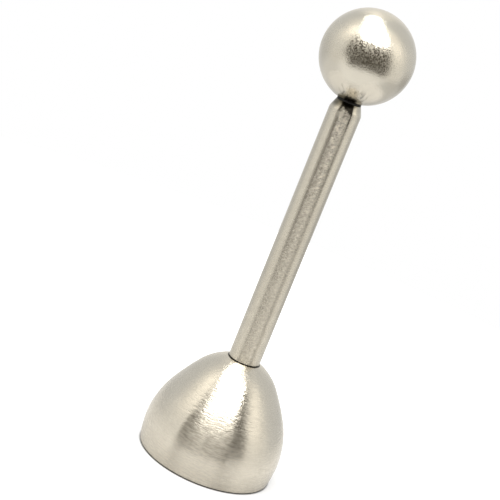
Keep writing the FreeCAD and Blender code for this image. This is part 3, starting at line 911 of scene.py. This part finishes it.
bush_bottom = levels("guide_bush")[0]
bush_radius = outer_radius("guide_bush")
nested = on_shoulder(SHOULDER_RADIUS - TUBE_WALL - PRESS_GAP)
cut = Lathe(rod_hole, bush_bottom).line(bush_radius, bush_bottom).line(bush_radius, swage_start)
cut.arc(shoulder_centre, nested).line(rod_hole, nested[1]).line(rod_hole, bush_bottom)
brass = turned_finish("bush_turned", BRASS, 0.24, 6.0, 0.006 * MM)
fit(finished("bush_turned_brass", cut.spun(edge=SMALL_EDGE)), "guide_bush", "handle", brass)

# %% [markdown]
# ## The spring
# Hard-drawn wire with one and a half closed coils at each end, ground flat, and open coils between. When the
# ball is pulled it is squeezed from below while its top stays against the bush; here it is wound at rest
# only.

# %% Wind the spring
WIRE = 0.8 * MM
END_COILS = 1.5
OPEN_COILS = 21
EASE_STEPS = STEPS_PER_TURN
WIRE_SIDES = 12

coil_radius = outer_radius("return_spring") - WIRE / 2
spring_height = spring_top - spring_bottom
open_lead = (spring_height - 2 * END_COILS * WIRE) / OPEN_COILS


def ring_of(centre_radius, centre_height, radius, sides):
    """Points of a small circle in the half-plane of radius and height."""
    angles = [FULL_TURN * side / sides for side in range(sides)]
    return [(centre_radius + radius * math.cos(a), centre_height + radius * math.sin(a)) for a in angles]


coil = bmesh.new()
closed_steps = round(END_COILS * STEPS_PER_TURN) - EASE_STEPS // 2
easing = [(1, WIRE + (open_lead - WIRE) * (step + 0.5) / EASE_STEPS) for step in range(EASE_STEPS)]
open_steps = OPEN_COILS * STEPS_PER_TURN - EASE_STEPS
climbs = [(closed_steps, WIRE), *easing, (open_steps, open_lead), *reversed(easing), (closed_steps, WIRE)]
wind(coil, loop_of(coil, ring_of(coil_radius, spring_bottom, WIRE / 2, WIRE_SIDES)), climbs)
top_of_wire = max(vertex.co.z for vertex in coil.verts)
print(f"the wire ends {(top_of_wire - spring_top) / MM:.2f} mm above the ground end")
for level, way in ((spring_bottom, -1), (spring_top, 1)):
    stone = {"plane_co": (0, 0, level), "plane_no": (0, 0, way), "clear_outer": True}
    everything = coil.verts[:] + coil.edges[:] + coil.faces[:]
    ground = bmesh.ops.bisect_plane(coil, geom=everything, **stone)
    bmesh.ops.holes_fill(coil, edges=edges_of(ground["geom_cut"]))
bmesh.ops.recalc_face_normals(coil, faces=coil.faces)
spring = finished("spring_coil", coil)
drawn_wire = plated_finish("spring_drawn_wire", GREY_STEEL, 0.20)
fit(spring, "return_spring", "handle", drawn_wire)
travel = next(joint for joint in frame["joints"] if joint["name"] == "pull")["range_m"][1]
(spring_height - travel) / spring_height
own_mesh(spring)
print(f"{OPEN_COILS} open coils over {spring_height / MM:.1f} mm, squeezed by {travel / MM:.0f} mm")

# %% [markdown]
# ## Plug and washers
# The plug closes the tube's foot: the screw pulls it down on the bell, and the striker hits its top. Under
# the screw's head are a plain washer and a split spring washer, whose cut leans like a thread.

# %% Make the plug and the washers
ZINC = (0.66, 0.65, 0.60)
BLACKENED = (0.42, 0.41, 0.39)
SPLIT_WIDTH = 0.6 * MM
SPLIT_STEPS = 90

plug_bottom, plug_top = levels("anvil_plug")
plug_radius = outer_radius("anvil_plug")
screw_bottom, screw_tip = levels("bell_screw")
hole_roof = screw_tip + DRILL_ROOM
cut = Lathe(0, plug_top).line(plug_radius, plug_top).line(plug_radius, plug_bottom)
cut.line(THREAD_HOLE, plug_bottom).line(THREAD_HOLE, hole_roof)
cut.line(0, hole_roof + THREAD_HOLE * DRILL_CONE)
plug_finish = turned_finish("plug_turned", GREY_STEEL, 0.26, 7.0, 0.008 * MM)
fit(finished("plug_solid", cut.spun(edge=EDGE)), "anvil_plug", "handle", plug_finish)

zinc = plated_finish("zinc_bright", ZINC, 0.24)
flat = finished("washer_flat", washer_mesh("flat_washer", SCREW_HOLE))
fit(flat, "flat_washer", "handle", zinc)

split_bottom, split_top = levels("lock_washer")
split_radius = outer_radius("lock_washer")
middle_radius = (split_radius + SCREW_HOLE) / 2
gap_angle = SPLIT_WIDTH / middle_radius
corners = [(SCREW_HOLE, split_bottom), (split_radius, split_bottom)]
corners += [(split_radius, split_top), (SCREW_HOLE, split_top)]
split = bmesh.new()
section = loop_of(split, corners)
first_ends = edges_of(section)
sweep = {"cent": (0, 0, 0), "axis": (0, 0, 1), "angle": FULL_TURN - gap_angle, "steps": SPLIT_STEPS}
last = bmesh.ops.spin(split, geom=section, **sweep)["geom_last"]
bmesh.ops.holes_fill(split, edges=first_ends + edges_of(last))
upper = [vertex for vertex in split.verts if vertex.co.z > (split_bottom + split_top) / 2]
by_the_gap = Matrix.Rotation(gap_angle, 3, "Z")
for points in (upper, split.verts):
    bmesh.ops.rotate(split, verts=points, cent=(0, 0, 0), matrix=by_the_gap)
bmesh.ops.recalc_face_normals(split, faces=split.faces)
soften(split, WASHER_EDGE)
lock_finish = plated_finish("lock_washer_steel", BLACKENED, 0.28)
fit(finished("washer_split", split), "lock_washer", "handle", lock_finish)

# %% [markdown]
# ## The screw
# A pan-head screw, M4 by 10. The head is turned with an open face, and a cross of five squares is laid in
# it. The cross is pushed up and drawn in to make the driver's recess, and the ring that is left between the
# cross and the head is filled.

# %% Make the screw
RECESS_HALF_SPAN = 2.2 * MM
RECESS_HALF_WIDTH = 0.475 * MM
RECESS_DEPTH = 1.7 * MM
RECESS_FLOOR = 0.62          # size of the recess's floor against its mouth
HEAD_RIM = 1.1 * MM
SCREW_RADIUS = 2.0 * MM

head_radius = outer_radius("bell_screw")
face_radius = RECESS_HALF_SPAN + EDGE
crown_start = split_bottom - HEAD_RIM
spread = head_radius - face_radius
head_arc = ((crown_start - screw_bottom) ** 2 + spread**2) / (2 * spread)
screw_root = SCREW_RADIUS - THREAD_DEPTH
cut = Lathe(face_radius, screw_bottom).arc((head_radius - head_arc, crown_start), (head_radius, crown_start))
cut.line(head_radius, split_bottom).line(screw_root, split_bottom)
cut.line(screw_root, screw_tip - ROD_EDGE).line(screw_root - ROD_EDGE, screw_tip)
screw = cut.line(0, screw_tip).spun()
face_loop = [edge for edge in screw.edges if edge.is_boundary]

head_face = {"size": RECESS_HALF_WIDTH, "matrix": Matrix.Translation((0, 0, screw_bottom))}
square = bmesh.ops.create_grid(screw, x_segments=1, y_segments=1, **head_face)["verts"]
middle_face = square[0].link_faces[0]
wings = [middle_face]
for edge in middle_face.edges[:]:
    outward = (edge.verts[0].co + edge.verts[1].co) / 2 - Vector((0, 0, screw_bottom))
    made = bmesh.ops.extrude_edge_only(screw, edges=[edge])["geom"]
    tip = [part for part in made if isinstance(part, bmesh.types.BMVert)]
    reach = outward.normalized() * (RECESS_HALF_SPAN - RECESS_HALF_WIDTH)
    bmesh.ops.translate(screw, verts=tip, vec=reach)
    wings += [part for part in made if isinstance(part, bmesh.types.BMFace)]
cross_loop = [edge for face in wings for edge in face.edges if edge.is_boundary]
floor = bmesh.ops.extrude_face_region(screw, geom=wings)["geom"]
floor_points = [part for part in floor if isinstance(part, bmesh.types.BMVert)]
bmesh.ops.delete(screw, geom=wings, context="FACES_ONLY")
bmesh.ops.translate(screw, verts=floor_points, vec=(0, 0, RECESS_DEPTH))
bmesh.ops.scale(screw, verts=floor_points, vec=(RECESS_FLOOR, RECESS_FLOOR, 1))
bmesh.ops.triangle_fill(screw, edges=face_loop + cross_loop, use_beauty=True, normal=(0, 0, -1))
bmesh.ops.recalc_face_normals(screw, faces=screw.faces)
soften(screw, SMALL_EDGE)
add_thread(screw, SCREW_RADIUS, split_bottom + THREAD_PITCH, screw_tip)
fit(finished("screw_pan_head", screw), "bell_screw", "handle", zinc)
